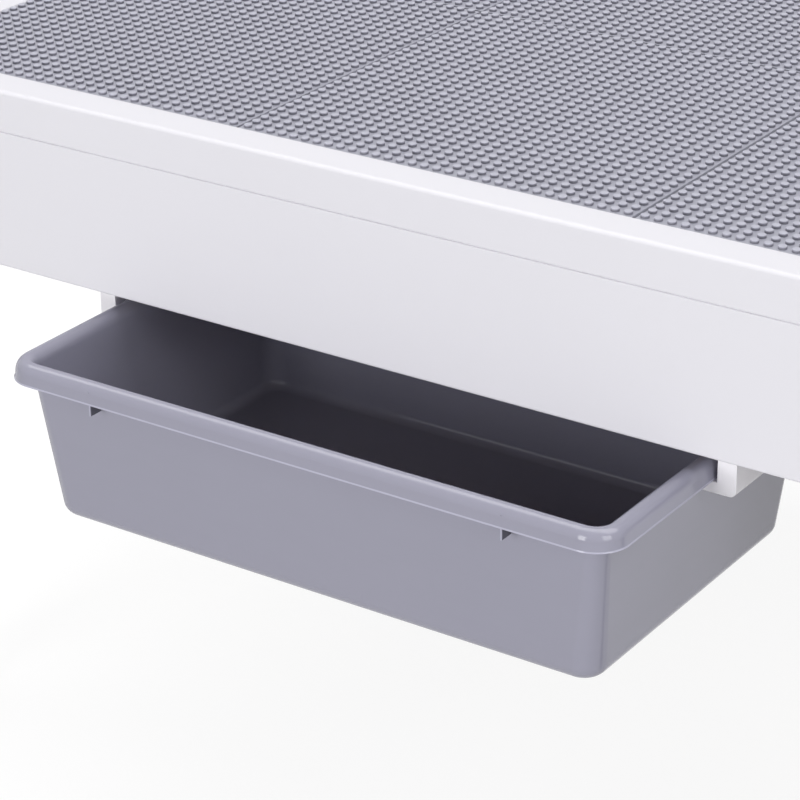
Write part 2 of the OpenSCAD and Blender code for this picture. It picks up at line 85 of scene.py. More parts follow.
# Grey of the floor for light on the object, its grey in the shadow, and its glow
FLOOR_PLAIN = (0.35, 0.35, 0.35, 1)
FLOOR_SHADOW = (0.20, 0.20, 0.20, 1)
FLOOR_GLOW = 0.87
# What the lamps are aimed at, in metres
AIM = (0.0, -0.28, 0.33)
# Name, degrees round from the front, degrees up, distance, width and height in metres, share,
# and whether the lamp itself is seen in glossy surfaces
LAMPS = (
    ("ceiling_box", 180, 78, 3.0, 6.0, 2.5, 1.36, True),
    ("back_box", 180, 60, 3.2, 4.0, 2.5, 0.08, True),
    ("front_box", -10, 15, 3.5, 1.4, 1.7, 0.36, True),
    ("right_box", 67, 23, 3.5, 1.5, 1.7, 0.24, True),
    ("low_front_fill", -18, 7, 3.5, 3.0, 0.6, 0.27, False),
    ("low_right_fill", 50, 0, 3.5, 3.0, 0.6, 0.30, False),
    ("low_back_fill", -145, 8, 3.5, 3.0, 0.6, 0.30, False),
)


# Sizes and colours that a user would change


def length(name, description, default, highest):
    """A size in millimetres."""
    return bpy.props.FloatProperty(
        name=name, description=description, default=default, min=0.05, max=highest, precision=2
    )


def colour(name, description, default):
    return bpy.props.FloatVectorProperty(
        name=name, description=description, default=default, subtype="COLOR", size=3, min=0, max=1
    )


class PlateSizes(bpy.types.PropertyGroup):
    """Studded plates, in millimetres."""

    pitch: length("Pitch", "Distance between neighbouring studs", 8.0, 20)
    stud_d: length("Stud diameter", "Diameter of a stud", 4.9, 8)
    stud_h: length("Stud height", "Height of a stud above the plate", 1.8, 4)
    stud_edge: length("Stud edge", "Radius of a stud's top edge", 0.4, 1)
    plate_edge: length("Plate edge", "Radius of a plate's outer edges", 0.35, 1)
    sides: bpy.props.IntProperty(
        name="Sides", description="Sides of a stud", default=16, min=8, max=32
    )


class BinSizes(bpy.types.PropertyGroup):
    """Moulded bin, in millimetres."""

    wall: length("Wall", "Wall thickness", 2.5, 6)
    overhang: length("Overhang", "Rim's outer face to the wall under it", 11.0, 30)
    rim_h: length("Rim height", "Height of the rim", 11.4, 30)
    face_lean: length("Rim lean", "What the rim's face leans in over its height", 1.1, 5)
    shoulder_w: length("Shoulder", "Width of the rim's rounded outer shoulder", 5.7, 12)
    shoulder_h: length("Shoulder height", "Height of that shoulder", 8.2, 10)
    inner_w: length("Inner edge", "Width of the rim's rounded inner edge", 5.4, 12)
    inner_h: length("Inner edge height", "Height of that inner edge", 7.4, 12)
    lip_h: length("Lip height", "Height of the band along the rim's lower edge", 0.35, 3)
    lip_out: length("Lip", "What that band stands out from the rim's face", 0.55, 3)
    lip_rise: length("Lip slope", "What the band's top slopes down over its width", 0.5, 3)
    lip_edge: length("Lip edge", "Radius of the band's lower edge", 0.15, 1)
    corner_r: length("Rim corners", "Radius of the rim's corners from above", 20.0, 60)
    wall_corner_r: length("Wall corners", "Radius of the wall's lower corners", 14.5, 60)
    floor_r: length("Floor edge", "Radius between wall and floor", 9.0, 30)
    fin_spacing: length("Fin spacing", "Distance between the two fins", 272.0, 400)
    fin_t: length("Fin thickness", "Thickness of a fin", 1.0, 4)
    fin_drop: length("Fin drop", "What a fin hangs below the rim", 7.4, 20)
    fin_edge: length("Fin edge", "Break of a fin's edges", 0.2, 1)
    draft: bpy.props.FloatProperty(
        name="Draft",
        description="Lean of the walls",
        default=math.radians(5.2),
        min=0.0,
        max=0.3,
        subtype="ANGLE",
        unit="ROTATION",
    )


class BoardSizes(bpy.types.PropertyGroup):
    """Painted boards, in millimetres."""

    trim_w: length("Trim width", "Width of the raised trim from above", 25.2, 60)
    trim_edge: length("Trim edge", "Radius of the trim's outer top edge", 2.5, 8)
    apron_edge: length("Apron edge", "Radius of an apron's outer bottom edge", 1.6, 6)
    joint_edge: length("Joint edge", "Radius of the edges along a joint", 1.1, 3)
    corner_r: length("Corner", "Radius of the table's upright corners", 6.0, 20)
    mitre_edge: length("Mitre edge", "Break of the edges at a mitre", 0.2, 1)


class LegSizes(bpy.types.PropertyGroup):
    """Legs and glides, in millimetres."""

    edge: length("Edge", "Radius of a leg's upright edges", 2.5, 10)
    foot_edge: length("Foot edge", "Break of the edges at the foot", 1.0, 5)
    seat: length("Seat", "Side of the bevel that seats the bracket", 14.0, 25)
    glide_h: length("Glide", "Height of a foot glide", 5.0, 12)


class RailSizes(bpy.types.PropertyGroup):
    """Lipped rails, in millimetres."""

    wall: length("Wall", "Thickness of a rail's wall", 11.5, 20)
    lip: length("Lip", "Thickness of a rail's lip", 6.6, 15)
    flare: length("Flare", "What the lip's foot reaches further than its top", 2.7, 8)
    foot_r: length("Foot", "Radius of a rail's outer bottom edge", 4.0, 10)
    edge: length("Edge", "Break of a rail's other edges", 0.4, 2)


class InnerSizes(bpy.types.PropertyGroup):
    """Boards and strips under the plates, in millimetres."""

    edge: length("Edge", "Break of a sawn edge", 0.4, 3)


class FastenerSizes(bpy.types.PropertyGroup):
    """Screws, leg bolts and corner brackets, in millimetres."""

    head_d: length("Screw head", "Diameter of a screw's head", 7.0, 12)
    head_h: length("Head height", "Height of a screw's head", 2.0, 5)
    screw_d: length("Screw", "Diameter of a screw's shank", 3.5, 8)
    recess: length("Recess", "Length of the cross recess", 2.31, 6)
    recess_deep: length("Recess depth", "Depth of the cross recess", 1.2, 3)
    bolt_d: length("Leg bolt", "Diameter of a leg bolt", 8.0, 12)
    thread: length("Thread", "Distance between two turns of the leg bolt's thread", 1.25, 3)
    nut_flats: length("Nut", "Width of a nut across its flats", 12.8, 24)
    steel: length("Bracket", "Thickness of a bracket's steel", 2.0, 5)
    flange: length("Flange", "Length of a bracket's flange along the apron", 20.0, 40)
    bend: length("Bend", "What a bend takes off a bracket's corner", 1.2, 5)
    steel_edge: length("Steel edge", "Break of the bracket's cut edges", 0.25, 1)


class Colours(bpy.types.PropertyGroup):
    """Base colours, as linear values."""

    paint: colour("Paint", "Satin white paint", (0.79, 0.78, 0.825))
    # Painted light: the rails have the same white paint as the table, and this lighter copy stands
    # in for light that doesn't reach them under the apron
    rails: colour("Rails", "Brighter paint of the rails", (0.90, 0.885, 0.92))
    bricks: colour("Plates", "Plastic of the studded plates", (0.405, 0.405, 0.475))
    bins: colour("Bins", "Plastic of the bins", (0.303, 0.299, 0.372))
    board: colour("Board", "Bare board and softwood", (0.55, 0.40, 0.26))
    facing: colour("Facing", "Pale paper on the deck board's upper face", (0.62, 0.61, 0.63))
    steel: colour("Steel", "Zinc on steel", (0.62, 0.63, 0.65))
    glides: colour("Glides", "Plastic of the foot glides", (0.20, 0.20, 0.21))


class StageSettings(bpy.types.PropertyGroup):
    """Floor, lamps and camera."""

    lens: bpy.props.FloatProperty(
        name="Lens", description="Focal length", default=131.24, min=20, max=300, unit="CAMERA"
    )
    place: bpy.props.FloatVectorProperty(
        name="Camera place",
        description="Where the camera stands",
        default=(0.8271, -1.4941, 0.9960),
        subtype="TRANSLATION",
        unit="LENGTH",
    )
    turn: bpy.props.FloatVectorProperty(
        name="Camera turn",
        description="Euler angles of the camera",
        default=(1.134499, 0.008871, 0.595705),
        subtype="EULER",
        unit="ROTATION",
    )
    light: bpy.props.FloatProperty(
        name="Light", description="Strength of all lamps together", default=1.0, min=0, max=4
    )


# Shader expressions


class Channel:
    """A number socket in an expression. Each operator adds a Math node."""

    def __init__(self, finish, socket):
        self.finish = finish
        self.socket = socket

    def math(self, operation, first, second, clamp=False):
        settings = {"operation": operation, "use_clamp": clamp}
        return self.finish.node("ShaderNodeMath", settings, {0: first, 1: second})

    def __add__(self, other):
        return self.math("ADD", self, other)

    def __radd__(self, other):
        return self.math("ADD", other, self)

    def __sub__(self, other):
        return self.math("SUBTRACT", self, other)

    def __rsub__(self, other):
        return self.math("SUBTRACT", other, self)

    def __mul__(self, other):
        return self.math("MULTIPLY", self, other)

    def __rmul__(self, other):
        return self.math("MULTIPLY", other, self)

    def __truediv__(self, other):
        return self.math("DIVIDE", self, other)

    def __abs__(self):
        return self.math("ABSOLUTE", self, 0.0)

    def clamped(self):
        return self.math("MULTIPLY", self, 1.0, clamp=True)


class Shading:
    """The node tree of a material or world under construction."""

    def __init__(self, owner):
        owner.use_nodes = True
        self.tree = owner.node_tree

    def node(self, kind, settings=None, inputs=None, output=0):
        """Adds a node, sets it up, fills its sockets and returns one output."""
        made = self.tree.nodes.new(kind)
        for label, value in (settings or {}).items():
            if label == "stops":
                ramp = made.color_ramp.elements
                while len(ramp) < len(value):
                    ramp.new(0.5)
                for element, (place, grey) in zip(ramp, value):
                    element.position = place
                    element.color = (grey, grey, grey, 1)
            else:
                setattr(made, label, value)
        for label, value in (inputs or {}).items():
            if isinstance(value, Channel):
                self.tree.links.new(value.socket, made.inputs[label])
            else:
                made.inputs[label].default_value = value
        return Channel(self, made.outputs[output])

    def seen(self):
        """1 for rays that look at the background, 0 for rays that light the object."""
        camera, glossy, through = (
            self.node("ShaderNodeLightPath", output=label)
            for label in ("Is Camera Ray", "Is Glossy Ray", "Is Transmission Ray")
        )
        return (camera + glossy + through).clamped()

    def end(self, channel, kind):
        """Links the last shader to the tree's output."""
        outputs = [node for node in self.tree.nodes if node.bl_idname == kind]
        output = outputs[0] if outputs else self.tree.nodes.new(kind)
        self.tree.links.new(channel.socket, output.inputs[0])


class Finish(Shading):
    """A material under construction."""

    def __init__(self, name, **constants):
        self.material = bpy.data.materials.new(name)
        super().__init__(self.material)
        self.shader = self.tree.nodes["Principled BSDF"]
        for label, value in constants.items():
            self.shader.inputs[label].default_value = value

    def feed(self, label, channel):
        self.tree.links.new(channel.socket, self.shader.inputs[label])

    def place(self, scale=(1, 1, 1)):
        """Object coordinates, stretched by a scale."""
        here = self.node("ShaderNodeTexCoord", output="Object")
        return self.node("ShaderNodeMapping", None, {"Vector": here, "Scale": scale})

    def climb(self, low, high, axis="Z"):
        """0 at one place along an axis of the object and 1 at another, in metres."""
        here = self.node("ShaderNodeTexCoord", output="Object")
        along = self.node("ShaderNodeSeparateXYZ", None, {"Vector": here}, output=axis)
        return (along - low) / (high - low)

    def noise(self, where, scale, detail=3.0, roughness=0.5, distortion=0.0):
        inputs = {
            "Vector": where,
            "Scale": scale,
            "Detail": detail,
            "Roughness": roughness,
            "Distortion": distortion,
        }
        return self.node("ShaderNodeTexNoise", None, inputs)

    def ramp(self, channel, *stops):
        return self.node("ShaderNodeValToRGB", {"stops": stops}, {0: channel})

    def blend(self, factor, first, second):
        """Mixes two colours."""
        settings = {"data_type": "RGBA", "clamp_factor": True}
        return self.node("ShaderNodeMix", settings, {0: factor, 6: first, 7: second}, output=2)

    def bump(self, height, distance, strength=1.0):
        inputs = {"Height": height, "Distance": distance, "Strength": strength}
        self.feed("Normal", self.node("ShaderNodeBump", None, inputs))


def shade(base, factor):
    """A colour with four parts, made lighter or darker."""
    return tuple(min(1.0, part * factor) for part in base) + (1.0,)


def satin_paint(name, colour):
    """Sprayed satin paint: faint clouds of tone, orange peel and dust nibs."""
    finish = Finish(name, IOR=1.36)
    here = finish.place()
    cloud = finish.noise(here, 7.0, 3.0)
    peel = finish.noise(here, 520.0, 2.0)
    fine = finish.noise(here, 1900.0, 1.0)
    tone = finish.blend(cloud, shade(colour, 0.985), shade(colour, 1.015))
    finish.feed("Base Color", tone)
    finish.feed("Roughness", 0.50 + 0.10 * cloud)
    finish.bump(peel + 0.4 * fine, 0.00002)
    return finish.material


def brick_plastic(colours, stud_h):
    """Moulded plastic of the plates: low gloss, flow marks, painted light on the studs' tops and
    top edges, and painted shade down their sides, at their feet and on the plate between them.
    """
    finish = Finish("brick_plastic", IOR=1.5)
    here = finish.place()
    cloud = finish.noise(here, 14.0, 3.0)
    grit = finish.noise(here, 2600.0, 2.0)
    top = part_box(PLATES[0])[1].z
    climb = finish.climb(top - stud_h, top)
    # Painted light and shade: lighter on the studs' tops and top edges, darker down their sides to
    # their feet and on the plate between them
    lit_share = finish.ramp(
        climb, (0.02, 0.72), (0.06, 0.0), (0.62, 0.25), (0.80, 0.95), (0.98, 1.0)
    )
    painted_shade = finish.blend(cloud, shade(colours.bricks, 0.40), shade(colours.bricks, 0.48))
    painted_light = finish.blend(cloud, shade(colours.bricks, 1.07), shade(colours.bricks, 1.15))
    tone = finish.blend(lit_share, painted_shade, painted_light)
    finish.feed("Base Color", tone)
    finish.feed("Roughness", 0.36 + 0.12 * cloud)
    finish.bump(grit, 0.00001)
    return finish.material


def fin_shade_mask(finish, name, sizes):
    """1 on the fins under a bin's rim, behind their front edge, where painted shade darkens them.
    """
    start = 0.4 * MM
    front_edge = 1.2
    low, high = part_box(name)
    face, back = (low.y, high.y) if name.startswith("front") else (high.y, low.y)
    depth = finish.climb(face, back, "Y") * ((high.y - low.y) / MM)
    rim_foot = high.z - sizes.rim_h * MM
    under = finish.climb(rim_foot, rim_foot - start).clamped()
    return under * (depth - front_edge).clamped() * (sizes.overhang - depth).clamped()


def lip_highlight_mask(finish, name, sizes):
    """1 on the thin lip along the lower edge of a bin's rim, where a painted highlight lightens
    it.
    """
    soft = 0.1 * MM
    reach = sizes.overhang * 0.6
    low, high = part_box(name)
    edge = high.z + (sizes.lip_h + sizes.lip_rise - sizes.rim_h) * MM
    level = finish.climb(edge + soft, edge - soft).clamped()
    near = []
    for i, axis in enumerate("XY"):
        span = (high[i] - low[i]) / MM
        from_middle = abs(finish.climb(low[i], high[i], axis) - 0.5) * span
        near.append((from_middle - (span / 2 - reach)).clamped())
    return level * (near[0] + near[1]).clamped()


def bin_plastic(name, colours, sizes):
    """Moulded plastic of a bin: semi-gloss, with flow clouds, a fine grain, a painted highlight
    along the rim's lower lip and painted shade on the fins.
    """
    finish = Finish(name + "_plastic", IOR=1.49)
    here = finish.place()
    cloud = finish.noise(here, 9.0, 4.0, distortion=0.6)
    flow = finish.noise(finish.place((1, 1, 5)), 22.0, 3.0)
    grit = finish.noise(here, 1500.0, 2.0)
    tone = finish.blend(
        0.6 * cloud + 0.4 * flow, shade(colours.bins, 0.965), shade(colours.bins, 1.035)
    )
    # Painted highlight: the lip along the rim's lower edge is lightened as if it caught the light
    tone = finish.blend(lip_highlight_mask(finish, name, sizes), tone, shade(colours.bins, 1.45))
    # Painted shade: the fins are darkened as if in shadow under the rim
    tone = finish.blend(fin_shade_mask(finish, name, sizes), tone, shade(colours.bins, 0.3))
    finish.feed("Base Color", tone)
    finish.feed("Roughness", 0.05 + 0.05 * cloud + 0.03 * flow)
    finish.bump(grit + 0.8 * cloud, 0.000007)
    return finish.material


def bare_wood(colours, along, faced=None):
    """Bare softwood or board, with its grain along one axis and perhaps a pale upper face."""
    name = "faced_board" if faced else f"bare_wood_{'xyz'[along]}"
    finish = Finish(name, IOR=1.45)
    stretch = [1.0, 1.0, 1.0]
    stretch[along] = 0.06
    here = finish.place(stretch)
    bands = finish.noise(here, 160.0, 4.0, distortion=1.2)
    pores = finish.noise(here, 900.0, 2.0)
    grain = finish.ramp(bands, (0.35, 0.0), (0.62, 1.0))
    tone = finish.blend(grain, shade(colours.board, 0.80), shade(colours.board, 1.15))
    if faced:
        paper = finish.climb(faced - 0.5 * MM, faced - 0.4 * MM).clamped()
        tone = finish.blend(paper, tone, shade(colours.facing, 1.0))
    finish.feed("Base Color", tone)
    finish.feed("Roughness", 0.62 + 0.12 * grain)
    finish.bump(bands + 0.6 * pores, 0.00008)
    return finish.material


def zinc_steel(colours):
    """Zinc plate: small crystals, dull patches and rolling lines."""
    finish = Finish("zinc_steel", Metallic=1.0)
    here = finish.place()
    crystal = finish.node("ShaderNodeTexVoronoi", None, {"Vector": here, "Scale": 420.0}, "Color")
    dull = finish.noise(here, 90.0, 3.0)
    lines = finish.noise(finish.place((1, 1, 18)), 300.0, 2.0)
    patch = finish.node("ShaderNodeRGBToBW", None, {0: crystal})
    tone = finish.blend(
        0.5 * patch + 0.5 * dull, shade(colours.steel, 0.82), shade(colours.steel, 1.12)
    )
    finish.feed("Base Color", tone)
    finish.feed("Roughness", 0.26 + 0.18 * dull + 0.08 * patch)
    finish.bump(lines, 0.00001)
    return finish.material


def glide_plastic(colours):
    """Matt plastic with a scuffed foot."""
    finish = Finish("glide_plastic", IOR=1.5)
    here = finish.place()
    scuff = finish.noise(here, 260.0, 4.0, distortion=0.8)
    tone = finish.blend(scuff, shade(colours.glides, 0.85), shade(colours.glides, 1.25))
    finish.feed("Base Color", tone)
    finish.feed("Roughness", 0.50 + 0.2 * scuff)
    finish.bump(scuff, 0.00004)
    return finish.material


# Mesh helpers


def scaled(vector):
    return Matrix.Diagonal((*vector, 1.0))


def of_kind(kind, items):
    """The vertices, edges or faces in what an operator returned."""
    return [item for item in items if isinstance(item, kind)]


def made_by(bm, call, **arguments):
    """Runs an operator and returns what it made: vertices, edges and faces."""
    before = (set(bm.verts), set(bm.edges), set(bm.faces))
    call(bm, **arguments)
    return [
        [item for item in group if item not in old]
        for group, old in zip((bm.verts, bm.edges, bm.faces), before)
    ]


def soft_bevel(bm, edges, radius, segments):
    bmesh.ops.bevel(
        bm,
        geom=list(edges),
        offset=radius,
        offset_type="OFFSET",
        segments=segments,
        profile=0.5,
        affect="EDGES",
        clamp_overlap=True,
        material=-1,
    )


def split(bm, place, normal, clear_outer=False):
    """Cuts a mesh along a plane and returns the edges of the cut."""
    made = bmesh.ops.bisect_plane(
        bm,
        geom=bm.verts[:] + bm.edges[:] + bm.faces[:],
        dist=TINY,
        plane_co=place,
        plane_no=normal,
        clear_outer=clear_outer,
    )
    return of_kind(bmesh.types.BMEdge, made["geom_cut"])


def block(bm, low, high):
    """A box between two corners."""
    low, high = Vector(low), Vector(high)
    place = Matrix.Translation((low + high) / 2) @ scaled(high - low)
    return made_by(bm, bmesh.ops.create_cube, size=1.0, matrix=place)


def board(name, edge):
    """A board of a node's size with its edges broken."""
    bm = bmesh.new()
    block(bm, *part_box(name))
    soft_bevel(bm, bm.edges, edge * MM, 2)
    return bm


def lathe(bm, profile, steps, closed=False):
    """Turns a profile of (radius, height) points in millimetres round the Z axis."""
    verts = [bm.verts.new((r * MM, 0, z * MM)) for r, z in profile]
    pairs = list(zip(verts, verts[1:] + verts[:1]))
    edges = [bm.edges.new(pair) for pair in (pairs if closed else pairs[:-1])]
    bmesh.ops.spin(
        bm,
        geom=verts + edges,
        cent=(0, 0, 0),
        axis=(0, 0, 1),
        angle=2 * math.pi,
        steps=steps,
        use_merge=True,
    )
    bmesh.ops.remove_doubles(bm, verts=bm.verts, dist=TINY)


def solids(name):
    """The points of each separate solid in a CAD node."""
    bm = bmesh.new()
    bm.from_mesh(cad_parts[name].data)
    bmesh.ops.remove_doubles(bm, verts=bm.verts, dist=TINY)
    left = set(bm.verts)
    groups = []
    while left:
        ahead = [left.pop()]
        points = []
        while ahead:
            vert = ahead.pop()
            points.append(vert.co.copy())
            near = {edge.other_vert(vert) for edge in vert.link_edges} & left
            left -= near
            ahead += near
        groups.append(points)
    bm.free()
    return groups


def end_on(points, axis):
    """Where a round solid's middle line leaves it in the axis' direction, and its length."""
    heights = [point.dot(axis) for point in points]
    low = [min(point[i] for point in points) for i in range(3)]
    high = [max(point[i] for point in points) for i in range(3)]
    middle = (Vector(low) + Vector(high)) / 2
    return middle + axis * (max(heights) - middle.dot(axis)), max(heights) - min(heights)


def placed(bm, shape, place, axis):
    """Adds a copy of a mesh, its Z axis turned to the given one."""
    known = len(bm.verts)
    bm.from_mesh(shape)
    bm.verts.ensure_lookup_table()
    turn = axis.to_track_quat("Z", "Y").to_matrix().to_4x4()
    bmesh.ops.transform(bm, matrix=Matrix.Translation(place) @ turn, verts=bm.verts[known:])


def edges_where(bm, test):
    """Edges whose two ends both pass a test."""
    return [edge for edge in bm.edges if all(test(vert.co) for vert in edge.verts)]


def upright_edges(bm):
    return [edge for edge in bm.edges if abs(edge.verts[0].co.z - edge.verts[1].co.z) > TINY]


def quadrant(point):
    """1 or -1 along X and Y, for the corner of the table that a point is in."""
    return Vector((math.copysign(1, point.x), math.copysign(1, point.y), 0))


def finished(bm, name, material, body, nodes, sharp=35):
    """Turns a bmesh into a piece that rides on a body and stands for its nodes."""
    bmesh.ops.recalc_face_normals(bm, faces=bm.faces)
    if not bm.faces:
        raise RuntimeError(f"{name} has no faces")
    mesh = bpy.data.meshes.new(name)
    bm.to_mesh(mesh)
    bm.free()
    mesh.materials.append(material)
    mesh.shade_smooth()
    mesh.set_sharp_from_angle(angle=math.radians(sharp))
    piece = bpy.data.objects.new(name, mesh)
    bpy.context.scene.collection.objects.link(piece)
    normals = piece.modifiers.new("face_weighted", "WEIGHTED_NORMAL")
    normals.keep_sharp = True
    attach(piece, body)
    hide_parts(*nodes)
    return piece


def settings(context):
    return context.scene.play_table


# Pieces


class TABLE_OT_plates(bpy.types.Operator):
    """Adds the six plates with their studs"""

    bl_idname = "play_table.plates"
    bl_label = "Studded plates"

    def execute(self, context):
        sizes = settings(context).plates
        material = brick_plastic(settings(context).colours, sizes.stud_h * MM)
        for name in PLATES:
            low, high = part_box(name)
            bm = self.plate(sizes, low, high)
            finished(bm, name + "_studded", material, "table", [name], 50)
        return {"FINISHED"}

    def plate(self, sizes, low, high):
        bm = bmesh.new()
        top = high.z - sizes.stud_h * MM
        block(bm, low, (high.x, high.y, top))
        soft_bevel(bm, bm.edges, sizes.plate_edge * MM, 2)
        self.studs(bm, sizes, low, high, top)
        return bm

    def studs(self, bm, sizes, low, high, top):
        """One stud, doubled until it covers the plate."""
        pitch = sizes.pitch * MM
        sunk = 0.2 * MM
        h = sizes.stud_h * MM + sunk
        r = sizes.stud_d * MM / 2
        centre = Vector((low.x + pitch / 2, low.y + pitch / 2, top - sunk + h / 2))
        made = made_by(
            bm,
            bmesh.ops.create_cone,
            cap_ends=True,
            segments=sizes.sides,
            radius1=r,
            radius2=r,
            depth=h,
            matrix=Matrix.Translation(centre),
        )
        crown = [e for e in made[1] if all(v.co.z > centre.z for v in e.verts)]
        known = set(bm.faces) - set(made[2])
        soft_bevel(bm, crown, sizes.stud_edge * MM, 2)
        stud = [face for face in bm.faces if face not in known]
        count = round((high.x - low.x) / pitch)
        for axis in (Vector((pitch, 0, 0)), Vector((0, pitch, 0))):
            step = 1
            while step < count:
                copied = bmesh.ops.duplicate(bm, geom=stud)["geom"]
                verts = of_kind(bmesh.types.BMVert, copied)
                bmesh.ops.translate(bm, vec=axis * step, verts=verts)
                stud += of_kind(bmesh.types.BMFace, copied)
                step *= 2


class TABLE_OT_bins(bpy.types.Operator):
    """Adds the two moulded bins"""

    bl_idname = "play_table.bins"
    bl_label = "Bins"

    def execute(self, context):
        sizes = settings(context).bins
        for name, half_turn in (("front_bin", 0), ("back_bin", 1)):
            material = bin_plastic(name, settings(context).colours, sizes)
            low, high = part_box(name)
            bm = self.tray(sizes, high - low)
            self.fins(bm, sizes, high - low)
            spot = Matrix.Translation(((low.x + high.x) / 2, (low.y + high.y) / 2, low.z))
            turn = Matrix.Rotation(math.pi * half_turn, 4, "Z")
            bmesh.ops.transform(bm, matrix=spot @ turn, verts=bm.verts)
            finished(bm, name + "_moulded", material, name, [name], 50)
        return {"FINISHED"}

    def rings(self, s, height):
        """Inset from the rim's face, height and corner radius of each ring, in millimetres."""
        lean = math.tan(s.draft)
        wall_top = height - s.rim_h
        foot = s.overhang + lean * wall_top
        slant = s.wall / math.cos(s.draft)

        def wall_at(z):
            return foot - lean * z

        def arc(inset, z, across, up, first, last, steps, radius_of):
            made = []
            for i in range(steps + 1):
                a = first + (last - first) * i / steps
                at = inset - across * math.cos(a)
                made.append((at, z + up * math.sin(a), radius_of(at, a)))
            return made

        def start_of(across, up, slope):
            return math.atan(up / across * math.tan(slope))

        def round_centre(start, r):
            return start + r * (1 - math.sin(s.draft)) / math.cos(s.draft)

        def rim_corner(at, a):
            return s.corner_r - at

        quarter = math.pi / 2
        step_z = wall_top + s.lip_h + s.lip_rise
        shoulder_z = height - s.shoulder_h
        tilt = math.atan((s.face_lean - s.lip_out) / (shoulder_z - step_z))
        turned = start_of(s.shoulder_w, s.shoulder_h, tilt)
        shoulder = s.face_lean + s.shoulder_w * math.cos(turned)
        channel_z = height - s.wall
        inner_z = height - s.inner_h
        touch = start_of(s.inner_w, s.inner_h, s.draft)
        touch_z = inner_z + s.inner_h * math.sin(touch)
        inner_x = wall_at(touch_z) + slant - s.inner_w * math.cos(touch)
        if inner_x < shoulder:
            raise ValueError("the rim's two rounded edges are wider than the rim")
        inner_floor_r = s.floor_r - s.wall
        inner_corner = s.wall_corner_r - s.wall
        outer_x = round_centre(foot, s.floor_r)
        inner_foot_x = round_centre(wall_at(s.wall) + slant, inner_floor_r)

        def floor_corner(r, corner):
            return lambda at, a: corner - r * (1 - math.cos(a))

        def level(at, z):
            return (at, z, s.corner_r - at)

        path = arc(
            outer_x, s.floor_r, s.floor_r, s.floor_r, -quarter, -s.draft, 7,
            floor_corner(s.floor_r, s.wall_corner_r),
        )
        path.append(level(wall_at(channel_z), channel_z - SPLIT))
        path += arc(
            shoulder, shoulder_z, s.shoulder_w - s.wall, s.shoulder_h - s.wall, quarter, 0, 4,
            rim_corner,
        )
        path.append(level(s.wall, wall_top + 2 * SPLIT))
        path.append(level(s.wall - s.lip_edge, wall_top + SPLIT))
        path += arc(
            s.lip_edge, wall_top + s.lip_edge, s.lip_edge, s.lip_edge, -quarter, 0, 3, rim_corner
        )
        path.append(level(0, wall_top + s.lip_h))
        path.append(level(s.lip_out, step_z))
        path += arc(
            shoulder, shoulder_z, s.shoulder_w, s.shoulder_h, turned, quarter, 10, rim_corner
        )
        path += arc(
            inner_x, inner_z - SPLIT, -s.inner_w, s.inner_h, quarter, touch, 8, rim_corner
        )
        path += arc(
            inner_foot_x, s.wall + inner_floor_r, inner_floor_r, inner_floor_r,
            -s.draft, -quarter, 7, floor_corner(inner_floor_r, inner_corner),
        )
        return path

    def tray(self, s, size):
        bm = bmesh.new()
        width, depth = size.x / MM, size.y / MM
        path = self.rings(s, size.z / MM)
        last = None
        for number, (inset, z, radius) in enumerate(path):
            place = Matrix.Translation((0, 0, z * MM)) @ scaled(
                ((width - 2 * inset) * MM, (depth - 2 * inset) * MM, 1)
            )
            corners = made_by(
                bm, bmesh.ops.create_grid, x_segments=1, y_segments=1, size=0.5, matrix=place
            )[0]
            old = set(bm.edges) - {e for v in corners for e in v.link_edges}
            bmesh.ops.bevel(
                bm,
                geom=corners,
                offset=radius * MM,
                offset_type="OFFSET",
                segments=CORNER_STEPS,
                profile=0.5,
                affect="VERTICES",
                clamp_overlap=False,
                material=-1,
            )
            ring = [edge for edge in bm.edges if edge not in old]
            if 0 < number < len(path) - 1:
                faces = {face for edge in ring for face in edge.link_faces}
                bmesh.ops.delete(bm, geom=list(faces), context="FACES_ONLY")
            if last:
                bmesh.ops.bridge_loops(bm, edges=last + ring)
            last = ring
        bmesh.ops.remove_doubles(bm, verts=bm.verts, dist=MERGE)
        return bm

    def fins(self, bm, s, size):
        """Two thin fins under the rim at the bin's front."""
        top = size.z - s.wall * 1.5 * MM
        bottom = size.z - (s.rim_h + s.fin_drop) * MM
        front = -size.y / 2 + s.wall / 2 * MM
        for side in (-1, 1):
            x = side * s.fin_spacing * MM / 2
            half = s.fin_t * MM / 2
            _, edges, _ = block(
                bm, (x - half, front, bottom), (x + half, front + s.overhang * MM, top)
            )
            soft_bevel(bm, edges, s.fin_edge * MM, 2)


